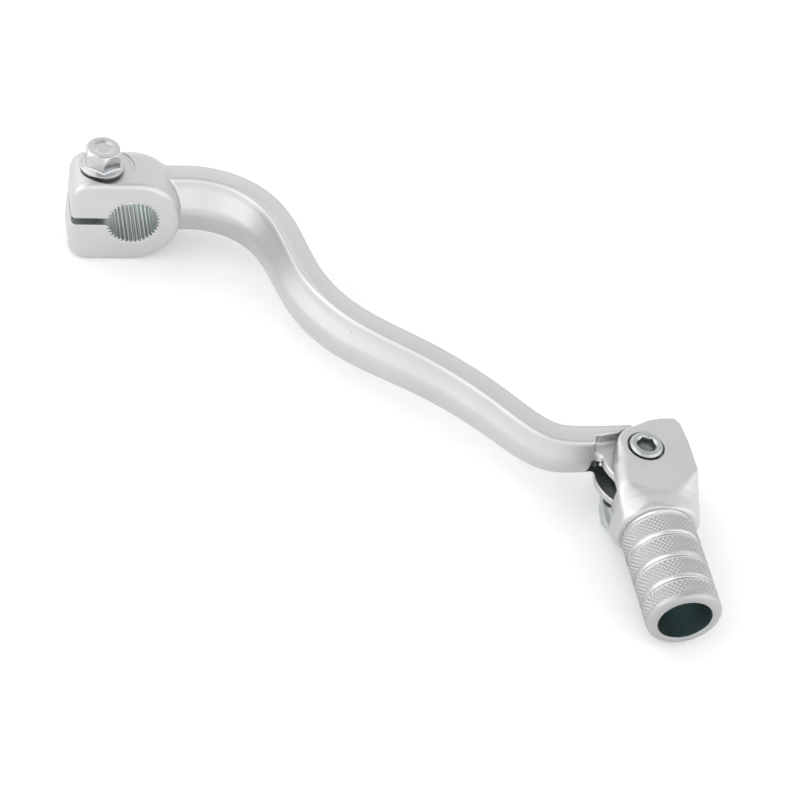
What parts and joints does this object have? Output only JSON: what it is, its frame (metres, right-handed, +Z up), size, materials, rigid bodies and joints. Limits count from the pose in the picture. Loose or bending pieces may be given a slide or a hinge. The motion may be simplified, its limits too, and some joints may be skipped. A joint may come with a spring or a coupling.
{
  "type": "motorcycle gear shift lever",
  "caption": "Forged aluminium gear shift lever with a splined pinch clamp, an S-shaped arm and a spring-loaded folding tip with a knurled hollow peg.",
  "frame": {"origin": "axis of the splined shaft bore, at the middle of the clamp's width", "axes": "+X along the lever from the shaft towards the tip, +Y inboard along the shaft bore, +Z up along the pinch bolt and the tip's fold pivot"},
  "size_m": [0.1341, 0.138, 0.0293],
  "materials": {
    "blasted_aluminium": "bead-blasted, satin",
    "machined_aluminium": "machined and knurled",
    "plated_steel": "bright zinc plate",
    "dark_steel": "polished, hardened",
    "spring_steel": "drawn wire",
    "bronze": "sintered"
  },
  "bodies": {
    "lever": {"lever_body": "blasted_aluminium", "pinch_bolt": "plated_steel", "upper_bushing": "bronze", "lower_bushing": "bronze", "spring_spacer": "plated_steel", "torsion_spring": "spring_steel"},
    "tip": {"tip_body": "blasted_aluminium", "peg_sleeve": "machined_aluminium", "pivot_bolt": "dark_steel", "upper_thrust_washer": "plated_steel", "lower_thrust_washer": "plated_steel"}
  },
  "joints": [
    {"name": "tip_fold", "type": "hinge", "parent": "lever", "child": "tip", "pos_m": [0.1084, -0.087, -0.00225], "axis": [0, 0, 1], "range_deg": [-45, 0], "stiffness_Nm_per_rad": 0.35, "springref_deg": 34.38, "deforming": ["torsion_spring"]}
  ]
}
